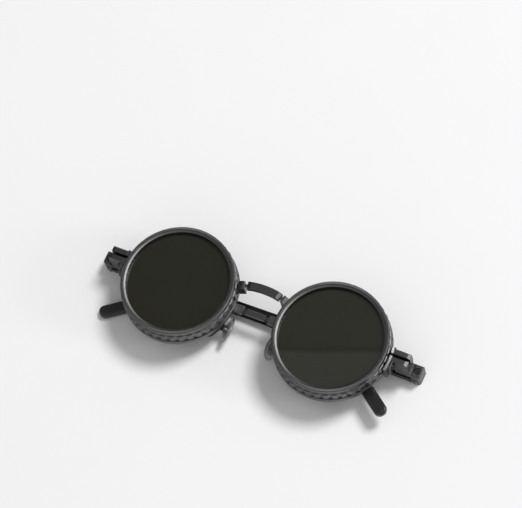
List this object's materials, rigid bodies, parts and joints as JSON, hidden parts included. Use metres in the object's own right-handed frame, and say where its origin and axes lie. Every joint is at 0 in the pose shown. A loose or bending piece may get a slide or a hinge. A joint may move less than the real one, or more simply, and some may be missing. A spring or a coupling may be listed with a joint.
{
  "type": "adjustable tint sunglasses",
  "caption": "Round metal sunglasses lying folded: scalloped bezels turn polarising lenses over fixed ones to set the tint; arched bridge bar, two-bar endpieces, hinged temples.",
  "frame": {"origin": "middle of the glasses' outline on the table that they lie on", "axes": "+Z the way the lenses face, away from the table; +X along the glasses towards the right of the picture; +Y up on the wearer"},
  "size_m": [0.1504, 0.0514, 0.0206],
  "materials": {
    "black_metal": "satin black anodised",
    "temple_metal": "satin black coated steel",
    "bare_steel": "bright drawn wire",
    "screw_steel": "blackened, worn at the slots",
    "tinted_lens": "polished grey-green polarising lens",
    "tip_rubber": "smooth black",
    "clear_silicone": "milky translucent"
  },
  "bodies": {
    "frame": {"bridge_upper": "black_metal", "bridge_lower": "black_metal", "rim_right": "black_metal", "rear_lens_right": "tinted_lens", "rear_ring_right": "black_metal", "endpiece_right": "black_metal", "endpiece_screw_right": "screw_steel", "hinge_block_right": "black_metal", "tension_screw_right": "screw_steel", "block_screw_right": "screw_steel", "hinge_pin_right": "screw_steel", "pad_arm_right": "temple_metal", "pad_screw_right": "screw_steel", "rim_left": "black_metal", "rear_lens_left": "tinted_lens", "rear_ring_left": "black_metal", "endpiece_left": "black_metal", "endpiece_screw_left": "screw_steel", "hinge_block_left": "black_metal", "tension_screw_left": "screw_steel", "block_screw_left": "screw_steel", "hinge_pin_left": "screw_steel", "pad_arm_left": "temple_metal", "pad_screw_left": "screw_steel"},
    "tint_bezel_right": {"bezel_right": "black_metal", "front_lens_right": "tinted_lens", "front_ring_right": "black_metal", "snap_ring_right": "bare_steel", "stop_pin_right": "bare_steel"},
    "tint_bezel_left": {"bezel_left": "black_metal", "front_lens_left": "tinted_lens", "front_ring_left": "black_metal", "snap_ring_left": "bare_steel", "stop_pin_left": "bare_steel"},
    "temple_arm_right": {"temple_right": "temple_metal", "tip_sleeve_right": "tip_rubber", "tip_screw_right": "screw_steel"},
    "temple_arm_left": {"temple_left": "temple_metal", "tip_sleeve_left": "tip_rubber", "tip_screw_left": "screw_steel"},
    "swivel_pad_right": {"nose_pad_right": "clear_silicone"},
    "swivel_pad_left": {"nose_pad_left": "clear_silicone"}
  },
  "joints": [
    {"name": "tint_turn_right", "type": "hinge", "parent": "frame", "child": "tint_bezel_right", "pos_m": [0.0359, 0, 0.0144], "axis": [0, 0, 1], "range_deg": [0, 90]},
    {"name": "tint_turn_left", "type": "hinge", "parent": "frame", "child": "tint_bezel_left", "pos_m": [-0.0359, 0, 0.0144], "axis": [0, 0, -1], "range_deg": [0, 90]},
    {"name": "temple_fold_right", "type": "hinge", "parent": "frame", "child": "temple_arm_right", "pos_m": [0.0728, 0.0029, 0.0017], "axis": [0, -1, 0], "range_deg": [0, 92]},
    {"name": "temple_fold_left", "type": "hinge", "parent": "frame", "child": "temple_arm_left", "pos_m": [-0.0728, 0.0029, 0.0017], "axis": [0, 1, 0], "range_deg": [0, 95]},
    {"name": "pad_swivel_right", "type": "hinge", "parent": "frame", "child": "swivel_pad_right", "pos_m": [0.0119, -0.0085, 0.00609], "axis": [0, 1, 0], "range_deg": [-8, 8]},
    {"name": "pad_swivel_left", "type": "hinge", "parent": "frame", "child": "swivel_pad_left", "pos_m": [-0.0119, -0.0085, 0.00609], "axis": [0, 1, 0], "range_deg": [-8, 8]}
  ]
}
